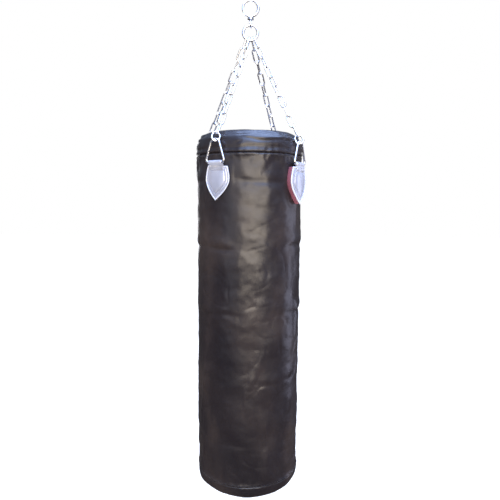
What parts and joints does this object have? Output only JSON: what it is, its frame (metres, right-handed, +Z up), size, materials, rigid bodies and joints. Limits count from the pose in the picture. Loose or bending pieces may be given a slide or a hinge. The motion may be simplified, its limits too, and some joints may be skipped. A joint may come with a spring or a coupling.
{
  "type": "punching bag",
  "caption": "Hanging leather punching bag with chains on D-rings, a gather ring, a swivel and a snap hook.",
  "frame": {"origin": "inside top of the hook, where the hook bears on the beam, bolt or ring that holds the bag", "axes": "+Z up along the bag's axis, -Y the front of the bag, +X to the right seen from the front"},
  "size_m": [0.36, 0.3614, 1.6306],
  "materials": {
    "chrome_steel": "polished",
    "spring_steel": "satin",
    "washer_brass": "satin",
    "dark_leather": "satin",
    "silver_leather": "satin",
    "red_leather": "satin",
    "liner_canvas": "matte",
    "textile_filling": "matte",
    "zip_fabric": "matte",
    "zip_metal": "polished"
  },
  "bodies": {
    "hook": {"hook_body": "chrome_steel", "gate_pin": "chrome_steel", "gate_spring": "spring_steel", "thrust_washer": "washer_brass"},
    "gate": {"hook_gate": "chrome_steel"},
    "swivel": {"swivel_eye": "chrome_steel"},
    "ring": {"gather_ring": "chrome_steel"},
    "bag": {"chain_front_left": "chrome_steel", "chain_front_right": "chrome_steel", "chain_back_right": "chrome_steel", "chain_back_left": "chrome_steel", "connector_front_left": "chrome_steel", "connector_front_right": "chrome_steel", "connector_back_right": "chrome_steel", "connector_back_left": "chrome_steel", "dring_front_left": "chrome_steel", "dring_front_right": "chrome_steel", "dring_back_right": "chrome_steel", "dring_back_left": "chrome_steel", "tab_face_front_left": "silver_leather", "tab_face_front_right": "silver_leather", "tab_face_back_right": "silver_leather", "tab_face_back_left": "silver_leather", "tab_backing_front_left": "red_leather", "tab_backing_front_right": "red_leather", "tab_backing_back_right": "red_leather", "tab_backing_back_left": "red_leather", "top_cap": "dark_leather", "leather_body": "dark_leather", "bottom_cap": "dark_leather", "top_welt": "dark_leather", "bottom_welt": "dark_leather", "back_seam": "dark_leather", "canvas_liner": "liner_canvas", "filling": "textile_filling", "zip_stringers": "zip_fabric", "zip_stops": "zip_metal"},
    "slider": {"zip_slider": "zip_metal"},
    "pull": {"zip_pull": "zip_metal"}
  },
  "joints": [
    {"name": "gate_hinge", "type": "hinge", "parent": "hook", "child": "gate", "pos_m": [-0.01785, 0, -0.03885], "axis": [0, 1, 0], "range_deg": [0, 33], "stiffness_Nm_per_rad": 0.05, "springref_deg": -34.38},
    {"name": "swivel_spin", "type": "hinge", "parent": "hook", "child": "swivel", "pos_m": [0, 0, -0.06005], "axis": [0, 0, 1], "continuous": true},
    {"name": "ring_swing", "type": "hinge", "parent": "swivel", "child": "ring", "pos_m": [0, 0, -0.08135], "axis": [0, 1, 0], "range_deg": [-30, 30]},
    {"name": "bag_swing", "type": "hinge", "parent": "ring", "child": "bag", "pos_m": [0, 0, -0.11993], "axis": [1, 0, 0], "range_deg": [-25, 25]},
    {"name": "zip_slide", "type": "slide", "parent": "bag", "child": "slider", "axis": [-1, 0, 0], "range_m": [0, 0.205]},
    {"name": "zip_pull_flip", "type": "hinge", "parent": "slider", "child": "pull", "pos_m": [0.105, 0, -0.4275], "axis": [0, -1, 0], "range_deg": [0, 165]}
  ]
}
